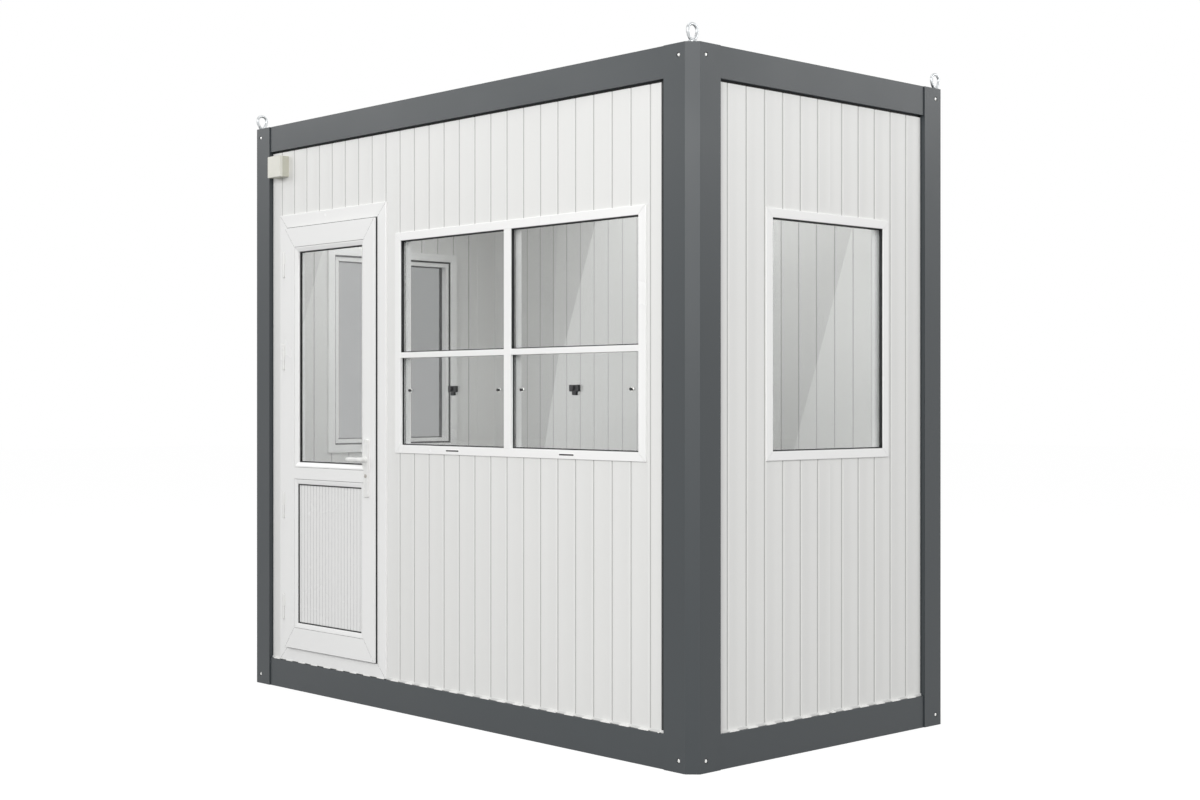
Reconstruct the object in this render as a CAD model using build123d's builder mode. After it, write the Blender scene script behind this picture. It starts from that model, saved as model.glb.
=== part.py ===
"""Security guard booth: a small panel cabin with a glazed door and a hatch window.

Millimetres, +Z up. X runs along the long side and the front faces -Y. The origin is
on the ground, at the middle of the booth. A folded steel frame of four corner posts,
four top rails and four bottom rails carries grooved white sandwich panels.
"""
from build123d import *
import os

os.makedirs("parts", exist_ok=True)

# Overall size over the posts
length = 2880.0
width = 1500.0
height = 2600.0

# Steel frame
post_face = 145.0
post_chamfer = 37.6
post_sheet = 3.0
post_plate = 6.0
top_rail_height = 117.0
bottom_rail_height = 127.0
rail_sheet = 3.0
rail_setback = 5.0
joist_width = 50.0
joist_count = 5
joist_spacing = 550.0

# Corner bolts and lifting eyes
corner_bolt_hole = 18.0
corner_bolt_inset = 70.0
corner_bolt_from_end = 43.0
eye_inset = 32.0
eye_ring_diameter = 72.0
eye_hole_diameter = 40.0
eye_bar_sides = 6
eye_collar_diameter = 36.0
eye_collar_height = 9.0
eye_shank_diameter = 19.6
eye_shank_hole = 20.0
eye_shank_length = 24.0

# Sandwich panels
panel_setback = 18.0
panel_thickness = 50.0
panel_end_gap = 6.0
front_panel_right_gap = 30.0
panel_top_gap = 9.0
groove_pitch = 101.0
groove_from_corner = 232.0
groove_mouth = 14.0
groove_floor = 3.0
groove_depth = 2.4
liner_groove_mouth = 10.0
liner_groove_depth = 1.6
end_panel_joint = 29.0
end_joint_to_groove = 72.0
flashing_sheet = 1.5
flashing_height = 10.0
lining_sheet = 1.2
lining_leg = 120.0

# Floor and roof
deck_thickness = 18.0
covering_thickness = 3.0
roof_panel_thickness = 60.0
roof_rib_height = 34.0
roof_rib_top = 24.0
roof_rib_base = 60.0
roof_rib_spacing = 250.0
roof_rib_count = 10

# Front window with two fixed upper panes and two lifting hatch panes
door_to_window = 64.0
window_from_right_end = 250.0
window_bottom = 1102.0
window_top = 2040.0
window_border = 35.0
window_side_border = 38.0
window_mullion = 43.0
mullion_share = 0.4875
window_transom = 24.0
window_transom_bottom = 1506.0
window_proud = 6.0
window_depth = 60.0
end_window_width = 728.0
end_window_centre = 21.0

# Glass and how it sits in its groove
glass_thickness = 6.0
glass_bite = 8.0
glass_from_face = 24.0
slide_clearance = 0.3

# Hatch latches
latch_width = 50.0
latch_height = 26.0
latch_depth = 14.0
latch_tab_width = 22.0
latch_tab_height = 14.0
latch_below_transom = 146.0

# Door frame
door_from_left_end = 220.0
door_frame_width = 823.0
door_frame_top = 2180.0
door_frame_proud = 8.0
door_rebate = 72.0
door_stop_width = 16.0
door_stop_thickness = 9.0

# Door leaf
leaf_overlap = 8.0
leaf_gap = 8.0
leaf_seal_gap = 5.0
leaf_lip_thickness = 11.0
leaf_stile = 100.0
leaf_top_rail = 112.0
leaf_bottom_rail = 118.0
leaf_mid_rail_bottom = 945.0
leaf_mid_rail_top = 1044.0
infill_thickness = 24.0
infill_groove_pitch = 24.0
infill_groove_width = 5.0
infill_groove_depth = 2.0

# Door furniture
lock_backset = 50.0
spindle_height = 1070.0
cylinder_height = 998.0
backplate_width = 34.0
backplate_bottom = 905.0
backplate_height = 252.0
backplate_thickness = 8.0
spindle_size = 8.0
spindle_bore = 20.0
lever_neck_diameter = 16.0
lever_neck_clearance = 0.1
lever_reach = 42.0
lever_length = 98.0
lever_grip_height = 16.0
lever_grip_depth = 12.0
cylinder_diameter = 17.0
cylinder_proud = 2.0

# Hinges
hinge_heights = (378.0, 844.0, 1525.0, 1950.0)
hinge_length = 117.0
hinge_barrel_diameter = 18.0
hinge_pin_diameter = 8.0
hinge_pin_clearance = 0.05
hinge_wing_width = 30.0
hinge_wing_thickness = 3.0
hinge_axis_from_leaf = 10.5
hinge_axis_behind_face = 2.0
hinge_knuckle_gap = 0.4

# Junction box under the front top rail
box_from_left_end = 180.0
box_below_rail = 30.0
box_width = 102.0
box_height = 97.0
box_depth = 50.0
box_lid_depth = 14.0
box_corner = 6.0

# Worked out from the sizes above
panel_back = panel_setback + panel_thickness
top_rail_bottom = height - top_rail_height
panel_bottom = bottom_rail_height + flashing_sheet
panel_top = top_rail_bottom - panel_top_gap
long_panel_half = length / 2 - post_face - panel_end_gap
short_panel_half = width / 2 - post_face - panel_end_gap
front_face_y = -(width / 2 - panel_setback)
end_face_x = length / 2 - panel_setback
floor_level = bottom_rail_height + covering_thickness
door_frame_left = -length / 2 + door_from_left_end
door_frame_right = door_frame_left + door_frame_width
front_window_left = door_frame_right + door_to_window
front_window_right = length / 2 - window_from_right_end
window_mullion_centre = front_window_left + mullion_share * (
    front_window_right - front_window_left)
box_left = -length / 2 + box_from_left_end
box_bottom = top_rail_bottom - box_below_rail - box_height
corners = {
    "front_right": (1, -1),
    "front_left": (-1, -1),
    "back_right": (1, 1),
    "back_left": (-1, 1),
}


def write(part, label):
    """Label a finished piece and write its STEP file."""
    part.label = label
    export_step(part, f"parts/{label}.step")


def corner_point(sign, u, v):
    """Plan point u in from the end face and v in from the long face of one corner."""
    return (sign[0] * (length / 2 - u), sign[1] * (width / 2 - v))


def long_groove_places():
    """X of each panel groove of the long walls, from the front right corner on."""
    places = []
    x = length / 2 - groove_from_corner
    while x > -long_panel_half + groove_mouth / 2:
        places.append(x)
        x -= groove_pitch
    return places


def end_groove_places():
    """Y of each panel groove of an end wall, spaced out from the panel joint."""
    places = []
    for direction in (-1, 1):
        y = end_panel_joint + direction * end_joint_to_groove
        while abs(y) < short_panel_half - groove_mouth / 2:
            places.append(y)
            y += direction * groove_pitch
    return sorted(places)


def groove_outline(into):
    """Sloped groove of the outer skin, cut towards +1 or -1 from a face at zero."""
    return [
        (-groove_mouth / 2, 0),
        (-groove_floor / 2, into * groove_depth),
        (groove_floor / 2, into * groove_depth),
        (groove_mouth / 2, 0),
        (groove_mouth / 2, -into),
        (-groove_mouth / 2, -into),
    ]


def liner_groove_outline(into):
    """Shallow V of the inner skin, cut towards +1 or -1 from a face at zero."""
    return [
        (-liner_groove_mouth / 2, 0),
        (0, into * liner_groove_depth),
        (liner_groove_mouth / 2, 0),
        (liner_groove_mouth / 2, -into),
        (-liner_groove_mouth / 2, -into),
    ]


def wall_panel(label, start, end, bottom, top, side, grooves, cut=None):
    """Grooved sandwich panel standing between start and end along a wall.

    side is "long" for a panel along X with outer face at -Y, "long_back" for the one
    behind, "right" and "left" for the end walls. cut is an opening given as
    (start, end, bottom, top) along the same wall.
    """
    along_x = side in ("long", "long_back")
    sign = {"long": -1, "long_back": 1, "right": 1, "left": -1}[side]
    reach = width / 2 if along_x else length / 2
    outer = sign * (reach - panel_setback)
    inner = sign * (reach - panel_back)
    base = Plane.XY.offset(bottom) if along_x else Plane(
        origin=(0, 0, bottom), x_dir=(0, 1, 0), z_dir=(0, 0, 1))
    # In the plane turned to run along Y, its own y axis points to -X
    outer_y = outer if along_x else -outer
    inner_y = inner if along_x else -inner
    into = 1 if inner_y > outer_y else -1
    with BuildPart() as panel:
        with BuildSketch(base):
            with Locations(((start + end) / 2, (outer_y + inner_y) / 2)):
                Rectangle(end - start, panel_thickness)
            reach_in = groove_mouth / 2
            inside = [g for g in grooves if start - reach_in < g < end + reach_in]
            with Locations(*[(place, outer_y) for place in inside]):
                Polygon(*groove_outline(into), align=None, mode=Mode.SUBTRACT)
            with Locations(*[(place, inner_y) for place in inside]):
                Polygon(*liner_groove_outline(-into), align=None, mode=Mode.SUBTRACT)
        extrude(amount=top - bottom)
        if cut is not None:
            with BuildSketch(Plane(origin=(0, 0, cut[2]), x_dir=base.x_dir, z_dir=(0, 0, 1))):
                with Locations(((cut[0] + cut[1]) / 2, (outer_y + inner_y) / 2)):
                    Rectangle(cut[1] - cut[0], panel_thickness * 2)
            extrude(amount=cut[3] - cut[2], mode=Mode.SUBTRACT)
    write(panel.part, label)


def rail(label, along_x, sign, half_length, upper):
    """Folded C rail with its web outside and its flanges reaching to the panels' backs."""
    reach = width / 2 if along_x else length / 2
    bottom = top_rail_bottom if upper else 0.0
    top = height if upper else bottom_rail_height
    web = rail_setback + rail_sheet
    section = [
        (rail_setback, bottom),
        (panel_back, bottom),
        (panel_back, bottom + rail_sheet),
        (web, bottom + rail_sheet),
        (web, top - rail_sheet),
        (panel_back, top - rail_sheet),
        (panel_back, top),
        (rail_setback, top),
    ]
    plane = Plane.YZ if along_x else Plane.XZ
    with BuildPart() as piece:
        with BuildSketch(plane):
            with BuildLine():
                Polyline(*[(sign * (reach - depth), z) for depth, z in section], close=True)
            make_face()
        extrude(amount=half_length, both=True)
    write(piece.part, label)


def face_plane(side):
    """Plane on a wall's outer face: x along the wall, y up, z pointing outside."""
    if side == "front":
        return Plane(origin=(0, front_face_y, 0), x_dir=(1, 0, 0), z_dir=(0, -1, 0))
    if side == "right":
        return Plane(origin=(end_face_x, 0, 0), x_dir=(0, 1, 0), z_dir=(1, 0, 0))
    return Plane(origin=(-end_face_x, 0, 0), x_dir=(0, -1, 0), z_dir=(-1, 0, 0))


def span(x0, x1, y0, y1):
    """Centre and size of a rectangle given by its edges."""
    return ((x0 + x1) / 2, (y0 + y1) / 2), (x1 - x0, y1 - y0)


def slab(plane, edges, back, front, mode=Mode.ADD):
    """Box over a rectangle on a wall face, from back to front along the outward normal."""
    centre, size = span(*edges)
    with BuildSketch(plane.offset(back)) as outline:
        with Locations(centre):
            Rectangle(*size)
    extrude(outline.sketch, amount=front - back, mode=mode)


def grow(edges, amount):
    """Edges of a rectangle moved out on all sides."""
    return (edges[0] - amount, edges[1] + amount, edges[2] - amount, edges[3] + amount)


def shrink(edges, side, bottom, top):
    """Edges of a rectangle moved in by a side, a bottom and a top border."""
    return (edges[0] + side, edges[1] - side, edges[2] + bottom, edges[3] - top)


# Corner posts: folded hollow angles with a chamfered outer corner and closing plates
for name, sign in corners.items():
    with BuildPart() as post:
        outline = [
            corner_point(sign, post_face, 0),
            corner_point(sign, post_chamfer, 0),
            corner_point(sign, 0, post_chamfer),
            corner_point(sign, 0, post_face),
            corner_point(sign, panel_back, post_face),
            corner_point(sign, panel_back, panel_back),
            corner_point(sign, post_face, panel_back),
        ]
        with BuildSketch():
            with BuildLine():
                Polyline(*outline, close=True)
            make_face()
        extrude(amount=height)
        with BuildSketch(Plane.XY.offset(post_plate)):
            with BuildLine():
                Polyline(*outline, close=True)
            make_face()
            offset(amount=-post_sheet, kind=Kind.INTERSECTION, mode=Mode.REPLACE)
        extrude(amount=height - 2 * post_plate, mode=Mode.SUBTRACT)
        # Bolt holes near both ends of both faces
        for z in (corner_bolt_from_end, height - corner_bolt_from_end):
            x, y = corner_point(sign, corner_bolt_inset, 0)
            with Locations(Plane(origin=(x, y, z), z_dir=(0, -sign[1], 0))):
                Cylinder(corner_bolt_hole / 2, 4 * post_sheet, mode=Mode.SUBTRACT)
            x, y = corner_point(sign, 0, corner_bolt_inset)
            with Locations(Plane(origin=(x, y, z), z_dir=(-sign[0], 0, 0))):
                Cylinder(corner_bolt_hole / 2, 4 * post_sheet, mode=Mode.SUBTRACT)
        with Locations((*corner_point(sign, eye_inset, eye_inset), height)):
            Cylinder(eye_shank_hole / 2, 4 * post_plate, mode=Mode.SUBTRACT)
    write(post.part, f"post_{name}")

# Top and bottom rails between the posts
rail_half_long = length / 2 - post_face
rail_half_short = width / 2 - post_face
for level, upper in (("top", True), ("bottom", False)):
    rail(f"{level}_rail_front", True, -1, rail_half_long, upper)
    rail(f"{level}_rail_back", True, 1, rail_half_long, upper)
    rail(f"{level}_rail_right", False, 1, rail_half_short, upper)
    rail(f"{level}_rail_left", False, -1, rail_half_short, upper)

# Lifting eyes, screwed into the post tops, each ring standing along Y
with BuildPart() as lifting_eyes:
    bar = (eye_ring_diameter - eye_hole_diameter) / 2
    ring_middle_radius = (eye_ring_diameter - bar) / 2
    ring_centre_height = height + eye_ring_diameter / 2
    for sign in corners.values():
        x, y = corner_point(sign, eye_inset, eye_inset)
        across = Plane(origin=(x, y, ring_centre_height), x_dir=(1, 0, 0), z_dir=(0, -1, 0))
        with BuildSketch(across):
            # A flat side of the bar faces the hole, so the hole has a true round wall
            with Locations((0, ring_middle_radius)):
                RegularPolygon(bar / 2, eye_bar_sides, major_radius=False,
                               rotation=90 - 180 / eye_bar_sides)
        revolve(axis=Axis((x, y, ring_centre_height), (1, 0, 0)))
        with Locations((x, y, height)):
            Cylinder(eye_collar_diameter / 2, eye_collar_height,
                     align=(Align.CENTER, Align.CENTER, Align.MIN))
            Cylinder(eye_shank_diameter / 2, eye_shank_length,
                     align=(Align.CENTER, Align.CENTER, Align.MAX))
write(lifting_eyes.part, "lifting_eyes")

# Floor joists: they stand on the ground and reach on the rails' lower flanges to the webs
joist_top = bottom_rail_height - deck_thickness
joist_end = width / 2 - rail_setback - rail_sheet
with BuildPart() as floor_joists:
    first = -(joist_count - 1) / 2 * joist_spacing
    for number in range(joist_count):
        x = first + number * joist_spacing
        with BuildSketch(Plane.YZ.offset(x - joist_width / 2)):
            with BuildLine():
                tip = width / 2 - panel_back
                Polyline(
                    (-tip, 0), (tip, 0), (tip, rail_sheet), (joist_end, rail_sheet),
                    (joist_end, joist_top), (-joist_end, joist_top),
                    (-joist_end, rail_sheet), (-tip, rail_sheet), close=True)
            make_face()
        extrude(amount=joist_width)
write(floor_joists.part, "floor_joists")

# Floor board between the rails' flanges, with its vinyl covering
deck_edges = (length / 2 - panel_back - slide_clearance, width / 2 - panel_back - slide_clearance)
with BuildPart() as floor_deck:
    with BuildSketch(Plane.XY.offset(joist_top)):
        Rectangle(2 * deck_edges[0], 2 * deck_edges[1])
    extrude(amount=deck_thickness)
write(floor_deck.part, "floor_deck")
with BuildPart() as floor_covering:
    with BuildSketch(Plane.XY.offset(bottom_rail_height)):
        Rectangle(2 * deck_edges[0], 2 * deck_edges[1])
    extrude(amount=covering_thickness)
write(floor_covering.part, "floor_covering")

# Roof panel: flat ceiling side below, trapezoid ribs above, notched round the posts
roof_bottom = top_rail_bottom + rail_sheet
roof_half_length = length / 2 - rail_setback - rail_sheet - slide_clearance
roof_half_width = width / 2 - rail_setback - rail_sheet - slide_clearance
with BuildPart() as roof_panel:
    with BuildSketch(Plane.XY.offset(roof_bottom)):
        Rectangle(2 * roof_half_length, 2 * roof_half_width)
        notch_long = post_face + slide_clearance
        notch_short = panel_back + slide_clearance
        for sign in corners.values():
            for along, across in ((notch_long, notch_short), (notch_short, notch_long)):
                with Locations(corner_point(sign, 0, 0)):
                    Rectangle(2 * along, 2 * across, mode=Mode.SUBTRACT)
    extrude(amount=roof_panel_thickness)
    rib_bottom = roof_bottom + roof_panel_thickness
    with BuildSketch(Plane.XZ):
        for number in range(roof_rib_count):
            x = (number - (roof_rib_count - 1) / 2) * roof_rib_spacing
            with BuildLine():
                Polyline(
                    (x - roof_rib_base / 2, rib_bottom - rail_sheet),
                    (x + roof_rib_base / 2, rib_bottom - rail_sheet),
                    (x + roof_rib_base / 2, rib_bottom),
                    (x + roof_rib_top / 2, rib_bottom + roof_rib_height),
                    (x - roof_rib_top / 2, rib_bottom + roof_rib_height),
                    (x - roof_rib_base / 2, rib_bottom), close=True)
            make_face()
    extrude(amount=roof_half_width, both=True)
write(roof_panel.part, "roof_panel")

# White flashing under the panels: a flat strip with a short upstand outside them
with BuildPart() as base_flashing:
    for along_x, reach, half in (
            (True, width / 2, length / 2 - post_face - slide_clearance),
            (False, length / 2, width / 2 - post_face - slide_clearance)):
        for sign in (-1, 1):
            strip = [
                (panel_setback - flashing_sheet, bottom_rail_height),
                (panel_back, bottom_rail_height),
                (panel_back, panel_bottom),
                (panel_setback, panel_bottom),
                (panel_setback, bottom_rail_height + flashing_height),
                (panel_setback - flashing_sheet, bottom_rail_height + flashing_height),
            ]
            with BuildSketch(Plane.YZ if along_x else Plane.XZ):
                with BuildLine():
                    Polyline(*[(sign * (reach - depth), z) for depth, z in strip], close=True)
                make_face()
            extrude(amount=half, both=True)
write(base_flashing.part, "base_flashing")

# White angles that line the four inner corners and cover the posts' backs
with BuildPart() as corner_linings:
    lining_bottom = floor_level + slide_clearance
    lining_top = top_rail_bottom + rail_sheet - slide_clearance
    near = panel_back
    inside_face = panel_back + lining_sheet
    far = panel_back + lining_leg
    for sign in corners.values():
        with BuildSketch(Plane.XY.offset(lining_bottom)):
            with BuildLine():
                Polyline(
                    corner_point(sign, near, near), corner_point(sign, far, near),
                    corner_point(sign, far, inside_face),
                    corner_point(sign, inside_face, inside_face),
                    corner_point(sign, inside_face, far), corner_point(sign, near, far),
                    close=True)
            make_face()
        extrude(amount=lining_top - lining_bottom)
write(corner_linings.part, "corner_linings")

# Front wall, split beside and over the doorway, with the window cut through it
front_grooves = long_groove_places()
door_cut_left = door_frame_left - slide_clearance
door_cut_right = door_frame_right + slide_clearance
front_panel_end = rail_half_long - front_panel_right_gap
wall_panel("front_wall_left", -long_panel_half, door_cut_left, panel_bottom, panel_top,
           "long", front_grooves)
wall_panel("front_wall_over_door", door_cut_left, door_cut_right,
           door_frame_top + slide_clearance, panel_top, "long", front_grooves)
window_edges = (front_window_left, front_window_right, window_bottom, window_top)
wall_panel("front_wall_window_panel", door_cut_right, front_panel_end, panel_bottom, panel_top,
           "long", front_grooves, cut=grow(window_edges, slide_clearance))

# Back wall and end walls
wall_panel("back_wall", -long_panel_half, long_panel_half, panel_bottom, panel_top,
           "long_back", front_grooves)
end_window_edges = (end_window_centre - end_window_width / 2,
                    end_window_centre + end_window_width / 2, window_bottom, window_top)
end_window_mirrored = (-end_window_edges[1], -end_window_edges[0], window_bottom, window_top)
for side in ("right", "left"):
    wall_panel(f"{side}_wall", -short_panel_half, short_panel_half, panel_bottom, panel_top,
               side, end_groove_places(), cut=grow(end_window_edges, slide_clearance))


def window_frame(label, side, outer, panes):
    """Frame over the panel cut-out, with a groove round each pane's opening."""
    plane = face_plane(side)
    front = window_proud
    back = window_proud - window_depth
    glass_middle = front - glass_from_face
    half_groove = glass_thickness / 2 + slide_clearance
    with BuildPart() as frame:
        slab(plane, outer, back, front)
        for pane in panes:
            slab(plane, pane, back, front, mode=Mode.SUBTRACT)
            slab(plane, grow(pane, glass_bite), glass_middle - half_groove,
                 glass_middle + half_groove, mode=Mode.SUBTRACT)
    write(frame.part, label)


def window_glass(label, side, panes):
    """Panes that sit in the frame's grooves."""
    plane = face_plane(side)
    glass_middle = window_proud - glass_from_face
    with BuildPart() as glass:
        for pane in panes:
            slab(plane, grow(pane, glass_bite - slide_clearance),
                 glass_middle - glass_thickness / 2, glass_middle + glass_thickness / 2)
    write(glass.part, label)


# Front window: two fixed panes over two hatch panes
transom_top = window_transom_bottom + window_transom
mullion_left = window_mullion_centre - window_mullion / 2
mullion_right = window_mullion_centre + window_mullion / 2
inner = shrink(window_edges, window_side_border, window_border, window_border)
upper_panes = [(inner[0], mullion_left, transom_top, inner[3]),
               (mullion_right, inner[1], transom_top, inner[3])]
hatch_panes = [(inner[0], mullion_left, inner[2], window_transom_bottom),
               (mullion_right, inner[1], inner[2], window_transom_bottom)]
window_frame("front_window_frame", "front", window_edges, upper_panes + hatch_panes)
window_glass("front_window_glass", "front", upper_panes)
window_glass("hatch_glass", "front", hatch_panes)

# Hatch latches: a block with a finger tab below, on the outer face of each hatch pane
hatch_face = window_proud - glass_from_face + glass_thickness / 2
with BuildPart() as hatch_latches:
    latch_base = window_transom_bottom - latch_below_transom
    for pane in hatch_panes:
        middle = (pane[0] + pane[1]) / 2
        block = (middle - latch_width / 2, middle + latch_width / 2,
                 latch_base, latch_base + latch_height)
        tab = (middle - latch_tab_width / 2, middle + latch_tab_width / 2,
               latch_base - latch_tab_height, latch_base)
        slab(face_plane("front"), block, hatch_face, hatch_face + latch_depth)
        slab(face_plane("front"), tab, hatch_face, hatch_face + latch_depth)
write(hatch_latches.part, "hatch_latches")

# End windows, one fixed pane each
for side, edges in (("right", end_window_edges), ("left", end_window_mirrored)):
    window_frame(f"{side}_window_frame", side, edges, [grow(edges, -window_border)])
    window_glass(f"{side}_window_glass", side, [grow(edges, -window_border)])

# Door frame: rebated members with the stop on the inside
front_plane = face_plane("front")
door_edges = (door_frame_left, door_frame_right, panel_bottom, door_frame_top)
rebate_edges = grow(door_edges, -door_rebate)
stop_back = -panel_thickness
stop_front = stop_back + door_stop_thickness
with BuildPart() as door_frame:
    slab(front_plane, door_edges, stop_back, door_frame_proud)
    slab(front_plane, rebate_edges, stop_front, door_frame_proud, mode=Mode.SUBTRACT)
    slab(front_plane, grow(rebate_edges, -door_stop_width), stop_back, stop_front,
         mode=Mode.SUBTRACT)
    # Its foot stands behind the flashing's upstand
    foot = (door_frame_left, door_frame_right, panel_bottom,
            bottom_rail_height + flashing_height + slide_clearance)
    slab(front_plane, foot, 0, door_frame_proud, mode=Mode.SUBTRACT)
write(door_frame.part, "door_frame")

# Door leaf: rebated frame with a middle rail, grooved for the glass and the infill
lip_edges = grow(rebate_edges, leaf_overlap)
body_edges = grow(rebate_edges, -leaf_gap)
leaf_back = stop_front + leaf_seal_gap
leaf_proud = door_frame_proud + leaf_seal_gap + leaf_lip_thickness
leaf_thickness = leaf_proud - leaf_back
leaf_opening = shrink(lip_edges, leaf_stile, leaf_bottom_rail, leaf_top_rail)
lock_centre_x = lip_edges[1] - lock_backset
door_pane = (leaf_opening[0], leaf_opening[1], leaf_mid_rail_top, leaf_opening[3])
door_infill = (leaf_opening[0], leaf_opening[1], leaf_opening[2], leaf_mid_rail_bottom)
leaf_glass_middle = leaf_proud - glass_from_face
infill_front = leaf_glass_middle + infill_thickness / 2
infill_back = leaf_glass_middle - infill_thickness / 2
with BuildPart() as door_leaf:
    slab(front_plane, body_edges, leaf_back, leaf_proud)
    slab(front_plane, lip_edges, leaf_proud - leaf_lip_thickness, leaf_proud)
    for opening in (door_pane, door_infill):
        slab(front_plane, opening, leaf_back, leaf_proud, mode=Mode.SUBTRACT)
    slab(front_plane, grow(door_pane, glass_bite),
         leaf_glass_middle - glass_thickness / 2 - slide_clearance,
         leaf_glass_middle + glass_thickness / 2 + slide_clearance, mode=Mode.SUBTRACT)
    slab(front_plane, grow(door_infill, glass_bite), infill_back - slide_clearance,
         infill_front + slide_clearance, mode=Mode.SUBTRACT)
    with Locations(front_plane.offset(leaf_proud).location * Location(
            (lock_centre_x, spindle_height, 0))):
        Hole(spindle_bore / 2, leaf_thickness)
    with Locations(front_plane.offset(leaf_proud).location * Location(
            (lock_centre_x, cylinder_height, 0))):
        Hole(cylinder_diameter / 2 + slide_clearance, leaf_thickness)
write(door_leaf.part, "door_leaf")

with BuildPart() as door_glass:
    slab(front_plane, grow(door_pane, glass_bite - slide_clearance),
         leaf_glass_middle - glass_thickness / 2, leaf_glass_middle + glass_thickness / 2)
write(door_glass.part, "door_glass")

# Lower infill of the door, with fine upright grooves on both faces
with BuildPart() as door_infill_panel:
    infill_edges = grow(door_infill, glass_bite - slide_clearance)
    slab(front_plane, infill_edges, infill_back, infill_front)
    groove_count = int((door_infill[1] - door_infill[0]) / infill_groove_pitch)
    infill_middle = (door_infill[0] + door_infill[1]) / 2
    infill_places = [infill_middle + (number - (groove_count - 1) / 2) * infill_groove_pitch
                     for number in range(groove_count)]
    with BuildSketch(Plane(origin=(0, front_face_y, infill_edges[2]), z_dir=(0, 0, 1))):
        # Seen from above, each V is drawn twice as deep and twice as wide, half of it in the air
        for face, tip in ((infill_front, infill_front - infill_groove_depth),
                          (infill_back, infill_back + infill_groove_depth)):
            beyond = 2 * face - tip
            with Locations(*[(place, 0) for place in infill_places]):
                Polygon((-infill_groove_width, -beyond), (0, -tip), (infill_groove_width, -beyond),
                        align=None)
    extrude(amount=infill_edges[3] - infill_edges[2], mode=Mode.SUBTRACT)
write(door_infill_panel.part, "door_infill_panel")

# Long backplates on both faces of the leaf
plate_edges = (lock_centre_x - backplate_width / 2, lock_centre_x + backplate_width / 2,
               backplate_bottom, backplate_bottom + backplate_height)
neck_bore = lever_neck_diameter / 2 + lever_neck_clearance
for label, back, front in (
        ("backplate_outside", leaf_proud, leaf_proud + backplate_thickness),
        ("backplate_inside", leaf_back - backplate_thickness, leaf_back)):
    with BuildPart() as backplate:
        slab(front_plane, plate_edges, back, front)
        with Locations(front_plane.offset(front).location * Location(
                (lock_centre_x, spindle_height, 0))):
            Hole(neck_bore, backplate_thickness)
        with Locations(front_plane.offset(front).location * Location(
                (lock_centre_x, cylinder_height, 0))):
            Hole(cylinder_diameter / 2 + slide_clearance, backplate_thickness)
    write(backplate.part, label)

# Lock cylinder through the leaf
with BuildPart() as lock_cylinder:
    cylinder_back = leaf_back - backplate_thickness - cylinder_proud
    cylinder_front = leaf_proud + backplate_thickness + cylinder_proud
    with BuildSketch(front_plane.offset(cylinder_back)):
        with Locations((lock_centre_x, cylinder_height)):
            Circle(cylinder_diameter / 2)
    extrude(amount=cylinder_front - cylinder_back)
write(lock_cylinder.part, "lock_cylinder")


def lever(label, plate_face, outward):
    """Lever handle: a round neck from the backplate and a grip towards the hinges."""
    neck_end = plate_face + outward * lever_reach
    neck_start = plate_face - outward * backplate_thickness
    grip_start = neck_end - outward * lever_grip_depth
    with BuildPart() as handle:
        with BuildSketch(front_plane.offset(neck_start)):
            with Locations((lock_centre_x, spindle_height)):
                Circle(lever_neck_diameter / 2)
        extrude(amount=neck_end - neck_start)
        grip = (lock_centre_x - lever_length, lock_centre_x + lever_neck_diameter / 2,
                spindle_height - lever_grip_height / 2, spindle_height + lever_grip_height / 2)
        slab(front_plane, grip, min(grip_start, neck_end), max(grip_start, neck_end))
        # Square socket for the spindle
        socket = (lock_centre_x - spindle_size / 2, lock_centre_x + spindle_size / 2,
                  spindle_height - spindle_size / 2, spindle_height + spindle_size / 2)
        socket_end = plate_face + outward * backplate_thickness
        slab(front_plane, grow(socket, slide_clearance), min(neck_start, socket_end),
             max(neck_start, socket_end), mode=Mode.SUBTRACT)
    write(handle.part, label)


outside_face = leaf_proud + backplate_thickness
inside_face_of_plate = leaf_back - backplate_thickness
lever("lever_outside", outside_face, 1)
lever("lever_inside", inside_face_of_plate, -1)

# Square spindle that joins the two levers
with BuildPart() as lever_spindle:
    spindle_edges = (lock_centre_x - spindle_size / 2, lock_centre_x + spindle_size / 2,
                     spindle_height - spindle_size / 2, spindle_height + spindle_size / 2)
    spindle_reach = backplate_thickness - slide_clearance
    slab(front_plane, spindle_edges, inside_face_of_plate - spindle_reach,
         outside_face + spindle_reach)
write(lever_spindle.part, "lever_spindle")

# Hinges: the frame half carries the pin and the lower knuckle, the leaf half the upper one
hinge_x = lip_edges[0] - hinge_axis_from_leaf
hinge_out = leaf_proud - hinge_axis_behind_face
barrel_radius = hinge_barrel_diameter / 2
knuckle = (hinge_length - hinge_knuckle_gap) / 2
hinge_axis_y = front_face_y - hinge_out
with BuildPart() as hinge_frame_halves:
    for z in hinge_heights:
        low = z - hinge_length / 2
        with Locations((hinge_x, hinge_axis_y, low)):
            Cylinder(barrel_radius, knuckle, align=(Align.CENTER, Align.CENTER, Align.MIN))
            Cylinder(hinge_pin_diameter / 2, hinge_length,
                     align=(Align.CENTER, Align.CENTER, Align.MIN))
        wing = (hinge_x - hinge_wing_width, hinge_x, low, low + hinge_length)
        slab(front_plane, wing, door_frame_proud, door_frame_proud + hinge_wing_thickness)
        arm = (hinge_x - barrel_radius, hinge_x, low, low + knuckle)
        slab(front_plane, arm, door_frame_proud, hinge_out)
write(hinge_frame_halves.part, "hinge_frame_halves")

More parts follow.
